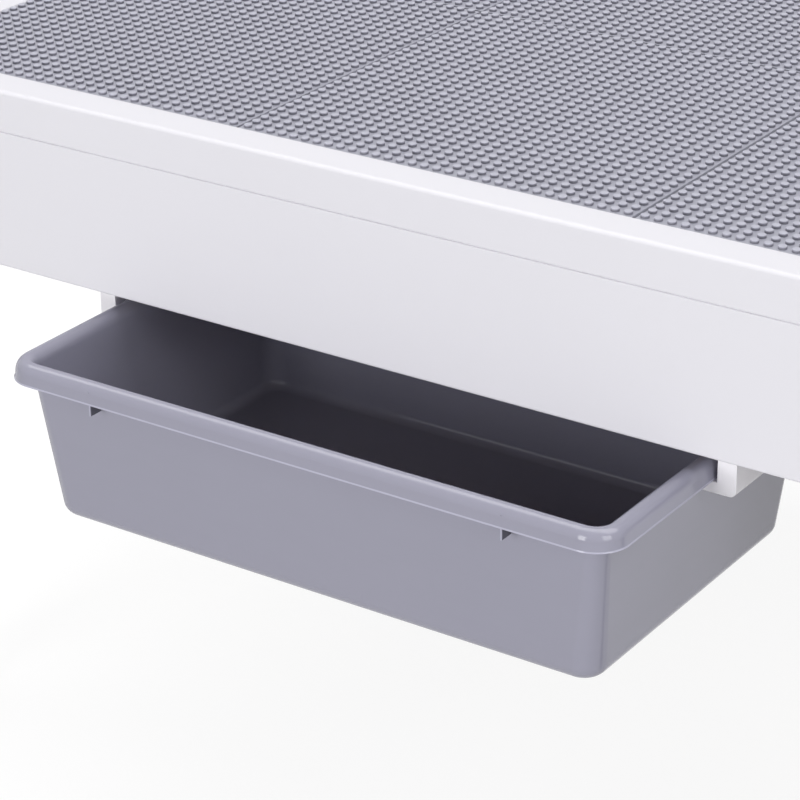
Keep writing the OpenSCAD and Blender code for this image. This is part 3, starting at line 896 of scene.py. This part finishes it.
class TABLE_OT_frame_boards(bpy.types.Operator):
    """Adds the mitred boards of trim and apron"""

    bl_idname = "play_table.frame_boards"
    bl_label = "Trim and apron"

    def execute(self, context):
        sizes = settings(context).boards
        paint = context.scene.play_table_paint
        for side in ("front", "back", "left", "right"):
            bm = self.ring(sizes)
            self.cut(bm, sizes, side)
            name = f"trim_{side}"
            finished(bm, name + "_board", paint, "table", [name])
            name = f"apron_{side}"
            bm = self.apron(sizes, name)
            finished(bm, name + "_board", paint, "table", [name])
        return {"FINISHED"}

    def apron(self, sizes, name):
        low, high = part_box(name)
        bm = bmesh.new()
        block(bm, low, high)
        flat = 0 if high.x - low.x > high.y - low.y else 1
        middle = (low + high) / 2
        outer = 1 if middle[1 - flat] > 0 else -1
        face = high[1 - flat] if outer > 0 else low[1 - flat]
        foot = edges_where(
            bm, lambda co: abs(co.z - low.z) < TINY and abs(co[1 - flat] - face) < TINY
        )
        soft_bevel(bm, foot, sizes.apron_edge * MM, 4)
        bm.normal_update()
        sharp = [e for e in bm.edges if e.calc_face_angle_signed() > SHARP_TURN]
        soft_bevel(bm, sharp, sizes.joint_edge * MM, 3)
        return bm

    def outline(self):
        low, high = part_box("trim_front")[0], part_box("trim_back")[1]
        low.x, high.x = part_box("trim_left")[0].x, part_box("trim_right")[1].x
        return low, high

    def ring(self, sizes):
        """All four trim boards in one: a box with a hole through it."""
        wide = sizes.trim_w * MM
        low, high = self.outline()
        bm = bmesh.new()
        block(bm, low, high)
        caps = [face for face in bm.faces if abs(face.normal.z) > 0.5]
        for cap in caps:
            bmesh.ops.inset_region(bm, faces=[cap], thickness=wide, use_even_offset=True)
        inner = [edge for cap in caps for edge in cap.edges]
        bmesh.ops.delete(bm, geom=caps, context="FACES_ONLY")
        bmesh.ops.bridge_loops(bm, edges=inner)

        def outside(co):
            return (
                min(co.x - low.x, high.x - co.x) < TINY or min(co.y - low.y, high.y - co.y) < TINY
            )

        corners = [edge for edge in upright_edges(bm) if outside(edge.verts[0].co)]
        soft_bevel(bm, corners, sizes.corner_r * MM, 8)

        def level(z, outer):
            edge_list = []
            for edge in bm.edges:
                if len(edge.link_faces) != 2:
                    continue
                if any(abs(vert.co.z - z) > TINY for vert in edge.verts):
                    continue
                slopes = [abs(face.normal.z) for face in edge.link_faces]
                if max(slopes) < 0.5 or min(slopes) > 0.5:
                    continue
                middle = (edge.verts[0].co + edge.verts[1].co) / 2
                inside = (
                    low.x + wide - TINY < middle.x < high.x - wide + TINY
                    and low.y + wide - TINY < middle.y < high.y - wide + TINY
                )
                if inside != outer:
                    edge_list.append(edge)
            return edge_list

        for z, outer, radius, segments in (
            (high.z, True, sizes.trim_edge, 6),
            (low.z, True, sizes.joint_edge, 3),
            (high.z, False, sizes.joint_edge, 3),
            (low.z, False, sizes.joint_edge, 3),
        ):
            bm.normal_update()
            soft_bevel(bm, level(z, outer), radius * MM, segments)
        return bm

    def cut(self, bm, sizes, side):
        """Keeps one side of the ring, cut to its two mitres."""
        low, high = self.outline()
        ends = {
            "front": (((low.x, low.y), (-1, 1)), ((high.x, low.y), (1, 1))),
            "back": (((low.x, high.y), (-1, -1)), ((high.x, high.y), (1, -1))),
            "left": (((low.x, low.y), (1, -1)), ((low.x, high.y), (1, 1))),
            "right": (((high.x, low.y), (-1, -1)), ((high.x, high.y), (-1, 1))),
        }
        for corner, away in ends[side]:
            edges = split(bm, (*corner, 0), (*away, 0), clear_outer=True)
            _, _, caps = made_by(bm, bmesh.ops.contextual_create, geom=edges)
            mitre = {edge for cap in caps for edge in cap.edges}
            soft_bevel(bm, mitre, sizes.mitre_edge * MM, 2)


class TABLE_OT_legs(bpy.types.Operator):
    """Adds the four legs and their glides"""

    bl_idname = "play_table.legs"
    bl_label = "Legs"

    def execute(self, context):
        sizes = settings(context).legs
        paint = context.scene.play_table_paint
        for corner in CORNERS:
            name = "leg_" + corner
            bm = self.leg(sizes, name, settings(context).boards.corner_r * MM)
            finished(bm, name + "_post", paint, "table", [name])
            name = "glide_" + corner
            bm = self.glide(sizes, name)
            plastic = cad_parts[name].data.materials[0]
            finished(bm, name + "_disc", plastic, "table", [name])
        return {"FINISHED"}

    def leg(self, sizes, name, corner_r):
        low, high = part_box(name)
        middle = (low + high) / 2
        out = quadrant(middle)
        bm = bmesh.new()
        block(bm, low, high)
        upright = upright_edges(bm)
        outer = [e for e in upright if (e.verts[0].co - middle).to_2d().dot(out.to_2d()) > MM]
        others = [edge for edge in upright if edge not in outer]
        soft_bevel(bm, outer, corner_r, 8)
        soft_bevel(bm, others, sizes.edge * MM, 4)
        inner = middle - out * (high.x - low.x) / 2
        seat_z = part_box("bracket_" + name[4:])[0].z - sizes.seat / 2 * MM
        seat = inner + out * sizes.seat / 2 * MM
        self.seat(bm, seat, -out, seat_z)
        bm.normal_update()
        foot = edges_where(bm, lambda co: abs(co.z - low.z) < TINY)
        soft_bevel(bm, foot, sizes.foot_edge * MM, 3)
        return bm

    def seat(self, bm, place, away, seat_z):
        """Cuts the bevel that the corner bracket lies on, down to a ledge."""
        for co, normal in ((Vector((0, 0, seat_z)), Vector((0, 0, 1))), (place, away)):
            split(bm, co, normal)

        def past(co):
            return (co - place).to_2d().dot(away.to_2d())

        waste = [
            face
            for face in bm.faces
            if past(face.calc_center_median()) > TINY and face.calc_center_median().z > seat_z
        ]
        bmesh.ops.delete(bm, geom=waste, context="FACES")
        rim = [edge for edge in bm.edges if edge.is_boundary]
        ends = {
            vert
            for edge in rim
            for vert in edge.verts
            if abs(vert.co.z - seat_z) < TINY and abs(past(vert.co)) < ON_CUT
        }
        ledge = bmesh.ops.contextual_create(bm, geom=list(ends))["edges"]
        slope = [e for e in rim if all(abs(past(v.co)) < ON_CUT for v in e.verts)]
        bmesh.ops.contextual_create(bm, geom=slope + ledge)
        level = [edge for edge in bm.edges if edge.is_boundary]
        bmesh.ops.contextual_create(bm, geom=level)

    def glide(self, sizes, name):
        low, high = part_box(name)
        middle = (low + high) / 2
        bm = bmesh.new()
        thick = sizes.glide_h * MM
        bmesh.ops.create_cone(
            bm,
            cap_ends=True,
            segments=48,
            radius1=(high.x - low.x) / 2,
            radius2=(high.x - low.x) / 2,
            depth=thick,
            matrix=Matrix.Translation((middle.x, middle.y, low.z + thick / 2)),
        )
        foot = edges_where(bm, lambda co: abs(co.z - low.z) < TINY)
        soft_bevel(bm, foot, thick / 2, 6)
        return bm


class TABLE_OT_rails(bpy.types.Operator):
    """Adds the two lipped rails"""

    bl_idname = "play_table.rails"
    bl_label = "Rails"

    def execute(self, context):
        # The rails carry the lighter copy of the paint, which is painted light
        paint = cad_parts["rail_left"].data.materials[0]
        sizes = settings(context).rails
        wall_t, lip_t, flare = sizes.wall * MM, sizes.lip * MM, sizes.flare * MM
        for name, out in (("rail_left", -1), ("rail_right", 1)):
            low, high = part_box(name)
            bm = bmesh.new()
            outer = high.x if out > 0 else low.x
            inner = outer - out * wall_t
            tip = low.x if out > 0 else high.x
            block(
                bm, (min(outer, inner), low.y, low.z), (max(outer, inner), high.y, high.z)
            )
            split(bm, (0, 0, low.z + lip_t), (0, 0, 1))
            bm.normal_update()
            foot = [
                face
                for face in bm.faces
                if face.normal.x * out < -0.5 and face.calc_center_median().z < low.z + lip_t
            ]
            lip = bmesh.ops.extrude_face_region(bm, geom=foot)["geom"]
            for vert in of_kind(bmesh.types.BMVert, lip):
                vert.co.x = tip + out * (flare if vert.co.z > low.z + TINY else 0)
            bmesh.ops.delete(bm, geom=foot, context="FACES")
            bm.normal_update()
            corner = edges_where(
                bm, lambda co: abs(co.x - outer) < TINY and abs(co.z - low.z) < TINY
            )
            soft_bevel(bm, corner, sizes.foot_r * MM, 6)
            bm.normal_update()
            pairs = [edge for edge in bm.edges if len(edge.link_faces) == 2]
            sharp = [edge for edge in pairs if edge.calc_face_angle_signed() > SHARP_TURN]
            soft_bevel(bm, sharp, sizes.edge * MM, 2)
            finished(bm, name + "_lipped", paint, "table", [name])
        return {"FINISHED"}


class TABLE_OT_inner_boards(bpy.types.Operator):
    """Adds the deck board and the strips, bearers and stops under it"""

    bl_idname = "play_table.inner_boards"
    bl_label = "Inner boards"

    def execute(self, context):
        edge = settings(context).inner.edge
        for name in INNER_BOARDS:
            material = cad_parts[name].data.materials[0]
            finished(board(name, edge), name + "_sawn", material, "table", [name])
        return {"FINISHED"}


class TABLE_OT_fasteners(bpy.types.Operator):
    """Adds screws, leg bolts with washers and nuts, and corner brackets"""

    bl_idname = "play_table.fasteners"
    bl_label = "Fasteners"

    def execute(self, context):
        sizes = settings(context).fasteners
        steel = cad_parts["leg_bolts"].data.materials[0]
        for name in SCREWS:
            bm = bmesh.new()
            for points in solids(name):
                axis = self.head_way(points)
                place, reach = end_on(points, axis)
                shape = self.screw(sizes, reach / MM)
                placed(bm, shape, place - axis * sizes.head_h * MM, axis)
                bpy.data.meshes.remove(shape)
            finished(bm, name + "_driven", steel, "table", [name])
        for name, maker in (
            ("leg_bolts", self.bolt), ("leg_washers", self.washer), ("leg_nuts", self.nut)
        ):
            bm = bmesh.new()
            for points in solids(name):
                axis = -quadrant(points[0]).normalized()
                place, reach = end_on(points, axis)
                shape = maker(sizes, reach / MM)
                placed(bm, shape, place, axis)
                bpy.data.meshes.remove(shape)
            finished(bm, name + "_turned", steel, "table", [name])
        for corner in CORNERS:
            name = "bracket_" + corner
            bm = self.bracket(sizes, name)
            finished(bm, name + "_bent", steel, "table", [name])
        return {"FINISHED"}

    def head_way(self, points):
        """The direction in which a screw's head looks, along the axis it is longest on."""
        spans = [max(p[i] for p in points) - min(p[i] for p in points) for i in range(3)]
        along = spans.index(max(spans))
        across = (along + 1) % 3
        middle = sum(p[across] for p in points) / len(points)
        widest = max(points, key=lambda p: abs(p[across] - middle))
        centre = (max(p[along] for p in points) + min(p[along] for p in points)) / 2
        way = Vector((0, 0, 0))
        way[along] = 1 if widest[along] > centre else -1
        return way

    def as_mesh(self, bm, name):
        bmesh.ops.recalc_face_normals(bm, faces=bm.faces)
        mesh = bpy.data.meshes.new(name)
        bm.to_mesh(mesh)
        bm.free()
        return mesh

    def screw(self, s, reach):
        """A pan head with a cross recess on a pointed shank; the head stands on the origin."""
        bm = bmesh.new()
        r, h, shank = s.head_d / 2, s.head_h, s.screw_d / 2
        edge_r = 0.2
        tip = h - reach
        dome = [
            (r * math.cos(a), h * (0.25 + 0.7 * math.sin(a)))
            for a in (math.radians(d) for d in (0, 14, 28, 41, 53))
        ]
        profile = [(0, tip), (shank * 0.4, tip + shank), (shank, tip + 3 * shank), (shank, 0)]
        lathe(bm, profile + [(r - edge_r, 0), (r, edge_r)] + dome, 20)
        crown = [edge for edge in bm.edges if edge.is_boundary]
        cells = 5
        wide = s.recess / 3 * MM
        place = Matrix.Translation((0, 0, h * MM)) @ scaled((wide * cells, wide * cells, 1))
        _, edges, faces = made_by(
            bm, bmesh.ops.create_grid, x_segments=cells, y_segments=cells, size=0.5, matrix=place
        )
        rim = [edge for edge in edges if edge.is_boundary]
        cross = [
            face
            for face in faces
            if min(abs(face.calc_center_median()[i]) for i in (0, 1)) < wide / 2
            and max(abs(face.calc_center_median()[i]) for i in (0, 1)) < wide * 1.5
        ]
        bmesh.ops.bridge_loops(bm, edges=crown + rim)
        bmesh.ops.inset_region(
            bm, faces=cross, thickness=wide * 0.12, depth=-s.recess_deep * MM, use_even_offset=True
        )
        return self.as_mesh(bm, "screw")

    def bolt(self, s, reach):
        """A threaded rod whose chamfered end is on the origin."""
        bm = bmesh.new()
        r = s.bolt_d / 2
        root = r - 0.54 * s.thread
        half_crest = 0.08 * s.thread
        lead, chamfer = 0.5, 1.0
        turns = int(reach / 2 / s.thread)
        profile = [(0, 0), (root - 0.2, 0)]
        for i in range(turns):
            z = -lead - i * s.thread
            crest = z - s.thread / 2
            profile += [(root, z), (r, crest + half_crest), (r, crest - half_crest)]
        last = -lead - turns * s.thread
        profile += [(root, last), (r, last - lead)]
        profile += [(r, chamfer - reach), (r - chamfer, -reach), (0, -reach)]
        lathe(bm, profile, 24)
        return self.as_mesh(bm, "bolt")

    def washer(self, s, reach):
        bm = bmesh.new()
        hole, outer, edge = s.bolt_d / 2 + 0.1, s.bolt_d, reach * 0.25
        profile = [
            (hole, -reach), (outer - edge, -reach), (outer, -reach + edge), (outer, -edge),
            (outer - edge, 0), (hole + edge, 0), (hole, -edge),
        ]
        lathe(bm, profile, 40, closed=True)
        return self.as_mesh(bm, "washer")

    def nut(self, s, reach):
        """A hexagon whose corners are turned off at both ends."""
        bm = bmesh.new()
        flat, hole = s.nut_flats / 2, s.bolt_d / 2 + 0.05
        tip, end = flat / math.cos(math.pi / 6), flat * 0.95
        chamfer, sink = 0.12 * reach, 0.6
        rings = (
            (24, end, 0), (6, tip, -chamfer), (6, tip, chamfer - reach), (24, end, -reach),
            (24, hole + sink, SPLIT - reach), (24, hole, sink - reach), (24, hole, -sink),
            (24, hole + sink, -SPLIT),
        )
        loops = []
        for sides, radius, z in rings:
            _, loop, _ = made_by(
                bm, bmesh.ops.create_circle, segments=sides, radius=radius * MM,
                matrix=Matrix.Translation((0, 0, z * MM)),
            )
            if sides < 24:
                old = set(bm.edges) - set(loop)
                bmesh.ops.subdivide_edges(bm, edges=loop, cuts=24 // sides - 1)
                loop = [edge for edge in bm.edges if edge not in old]
            loops.append(loop)
        for loop, following in zip(loops, loops[1:] + loops[:1]):
            bmesh.ops.bridge_loops(bm, edges=loop + following)
        return self.as_mesh(bm, "nut")

    def bracket(self, s, name):
        """A steel plate bent across the corner, with a flange along each apron."""
        low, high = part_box(name)
        reach = (high.x - low.x) / MM
        turn = reach - s.flange
        slack = s.steel * (math.sqrt(2) - 1)
        steep = math.radians(60)
        outline = (
            (turn, 0), (reach, 0), (reach, s.steel), (turn + slack, s.steel),
            (s.steel, turn + slack), (s.steel, reach), (0, reach), (0, turn),
        )
        bm = bmesh.new()
        verts = [bm.verts.new((x * MM, y * MM, low.z)) for x, y in outline]
        edges = [bm.edges.new(pair) for pair in zip(verts, verts[1:] + verts[:1])]
        bmesh.ops.contextual_create(bm, geom=edges)
        grown = bmesh.ops.extrude_face_region(bm, geom=bm.faces[:])["geom"]
        bmesh.ops.translate(
            bm,
            vec=(0, 0, high.z - low.z),
            verts=of_kind(bmesh.types.BMVert, grown),
        )
        bmesh.ops.recalc_face_normals(bm, faces=bm.faces)
        bends = [edge for edge in upright_edges(bm) if edge.calc_face_angle() < steep]
        soft_bevel(bm, bends, s.bend * MM, 4)
        bm.normal_update()
        sharp = [edge for edge in bm.edges if edge.calc_face_angle() > steep]
        soft_bevel(bm, sharp, s.steel_edge * MM, 2)
        middle = (low + high) / 2
        corner = Vector((
            low.x if middle.x < 0 else high.x, low.y if middle.y < 0 else high.y, 0
        ))
        inward = -quadrant(middle)
        flip = scaled((inward.x, inward.y, 1))
        bmesh.ops.transform(bm, matrix=Matrix.Translation(corner) @ flip, verts=bm.verts)
        return bm


class TABLE_OT_finishes(bpy.types.Operator):
    """Gives each carried-over node its finish"""

    bl_idname = "play_table.finishes"
    bl_label = "Finishes"

    def execute(self, context):
        colours = settings(context).colours
        paint = satin_paint("satin_paint", colours.paint)
        # A lighter copy of the paint for the rails: painted light
        lit_rail_paint = satin_paint("lit_rail_paint", colours.rails)
        context.scene.play_table_paint = paint
        deck_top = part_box("deck_board")[1].z
        steel = zinc_steel(colours)
        glides = glide_plastic(colours)
        grain = [bare_wood(colours, axis) for axis in range(3)]
        looks = {name: (paint, "white_paint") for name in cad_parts}
        for name in ("rail_left", "rail_right"):
            looks[name] = (lit_rail_paint, "white_paint")
        for name in (*SCREWS, "leg_bolts", "leg_washers", "leg_nuts"):
            looks[name] = (steel, "zinc_steel")
        for corner in CORNERS:
            looks["bracket_" + corner] = (steel, "zinc_steel")
            looks["glide_" + corner] = (glides, "glide_plastic")
        for name in ("ledger_front", "ledger_back", "deck_batten"):
            looks[name] = (grain[0], "bare_board")
        looks["deck_board"] = (bare_wood(colours, 0, deck_top), "bare_board")
        for name in ("ledger_left", "ledger_right", "rail_stop_left", "rail_stop_right"):
            looks[name] = (grain[1], "bare_board")
        looks["bearer_dowels"] = (grain[1], "bare_board")
        for name in ("trim_dowels", "batten_dowels"):
            looks[name] = (grain[2], "bare_board")
        for name, (material, slot) in looks.items():
            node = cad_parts[name]
            node.data.materials.clear()
            node.data.materials.append(material)
        return {"FINISHED"}


# Stage


class TABLE_OT_stage(bpy.types.Operator):
    """Adds floor, lamps, world and camera"""

    bl_idname = "play_table.stage"
    bl_label = "Stage"

    def execute(self, context):
        stage = settings(context).stage
        self.floor(context)
        self.world(context)
        for name, around, up, away, width, height, share, shines in LAMPS:
            turn = Euler((math.radians(-up), 0, math.radians(around)))
            way = Vector((0, -away, 0))
            way.rotate(turn)
            lamp = self.lamp(context, name, way, width, height, share * stage.light)
            lamp.visible_glossy = shines
        camera = bpy.data.cameras.new("camera")
        camera.lens = stage.lens
        camera.sensor_width = SENSOR
        holder = bpy.data.objects.new("camera", camera)
        holder.location = stage.place
        holder.rotation_euler = stage.turn
        context.scene.collection.objects.link(holder)
        context.scene.camera = holder
        context.scene.view_settings.view_transform = "Standard"
        return {"FINISHED"}

    def floor(self, context):
        """A pale floor that looks white and still shows the object's shadow."""
        bm = bmesh.new()
        bmesh.ops.create_grid(
            bm,
            x_segments=1,
            y_segments=1,
            size=FLOOR_SIDE,
            matrix=Matrix.Translation((0, 0, -FLOOR_DROP)),
        )
        mesh = bpy.data.meshes.new("floor")
        bm.to_mesh(mesh)
        bm.free()
        floor = bpy.data.objects.new("floor", mesh)
        context.scene.collection.objects.link(floor)
        finish = Finish("pale_floor")
        plain = finish.node("ShaderNodeBsdfDiffuse", None, {"Color": FLOOR_PLAIN})
        shadow = finish.node("ShaderNodeBsdfDiffuse", None, {"Color": FLOOR_SHADOW})
        light = {"Color": (1, 1, 1, 1), "Strength": FLOOR_GLOW}
        glow = finish.node("ShaderNodeEmission", None, light)
        white = finish.node("ShaderNodeAddShader", None, {0: shadow, 1: glow})
        mixed = finish.node("ShaderNodeMixShader", None, {0: finish.seen(), 1: plain, 2: white})
        finish.end(mixed, "ShaderNodeOutputMaterial")
        mesh.materials.append(finish.material)

    def world(self, context):
        world = bpy.data.worlds.new("studio")
        studio = Shading(world)
        studio.tree.nodes.clear()
        light = {"Color": (1, 1, 1, 1), "Strength": studio.seen()}
        studio.end(studio.node("ShaderNodeBackground", None, light), "ShaderNodeOutputWorld")
        context.scene.world = world

    def lamp(self, context, name, way, width, height, share):
        """A soft lamp aimed at the table. Share 1 lights a facing surface to its own colour."""
        lamp = bpy.data.lights.new(name, "AREA")
        lamp.shape = "RECTANGLE"
        lamp.size, lamp.size_y = width, height
        lamp.energy = share * (math.pi * way.length) ** 2
        holder = bpy.data.objects.new(name, lamp)
        holder.location = Vector(AIM) + way
        holder.rotation_euler = way.to_track_quat("Z", "Y").to_euler()
        context.scene.collection.objects.link(holder)
        return holder


# Add-on


class PlayTable(bpy.types.PropertyGroup):
    """All settings of the table."""

    plates: bpy.props.PointerProperty(type=PlateSizes)
    bins: bpy.props.PointerProperty(type=BinSizes)
    boards: bpy.props.PointerProperty(type=BoardSizes)
    legs: bpy.props.PointerProperty(type=LegSizes)
    rails: bpy.props.PointerProperty(type=RailSizes)
    inner: bpy.props.PointerProperty(type=InnerSizes)
    fasteners: bpy.props.PointerProperty(type=FastenerSizes)
    colours: bpy.props.PointerProperty(type=Colours)
    stage: bpy.props.PointerProperty(type=StageSettings)


OPERATORS = (
    TABLE_OT_finishes,
    TABLE_OT_frame_boards,
    TABLE_OT_legs,
    TABLE_OT_rails,
    TABLE_OT_inner_boards,
    TABLE_OT_fasteners,
    TABLE_OT_plates,
    TABLE_OT_bins,
    TABLE_OT_stage,
)


class TABLE_PT_pieces(bpy.types.Panel):
    """Lists the table's pieces in the sidebar"""

    bl_label = "Kids activity table"
    bl_idname = "TABLE_PT_pieces"
    bl_space_type = "VIEW_3D"
    bl_region_type = "UI"
    bl_category = "Table"

    def draw(self, context):
        for operator in OPERATORS:
            self.layout.operator(operator.bl_idname)
        for group in settings(context).bl_rna.properties.keys():
            if group in ("rna_type", "name"):
                continue
            box = self.layout.box()
            box.label(text=group.title())
            values = getattr(settings(context), group)
            for name in values.bl_rna.properties.keys():
                if name not in ("rna_type", "name"):
                    box.prop(values, name)


CLASSES = (
    PlateSizes,
    BinSizes,
    BoardSizes,
    LegSizes,
    RailSizes,
    InnerSizes,
    FastenerSizes,
    Colours,
    StageSettings,
    PlayTable,
    *OPERATORS,
    TABLE_PT_pieces,
)


def register():
    for item in CLASSES:
        bpy.utils.register_class(item)
    bpy.types.Scene.play_table = bpy.props.PointerProperty(type=PlayTable)
    bpy.types.Scene.play_table_paint = bpy.props.PointerProperty(type=bpy.types.Material)


def unregister():
    del bpy.types.Scene.play_table_paint
    del bpy.types.Scene.play_table
    for item in reversed(CLASSES):
        bpy.utils.unregister_class(item)


def main():
    register()
    for operator in OPERATORS:
        group, name = operator.bl_idname.split(".")
        getattr(getattr(bpy.ops, group), name)()


if __name__ == "__main__":
    main()
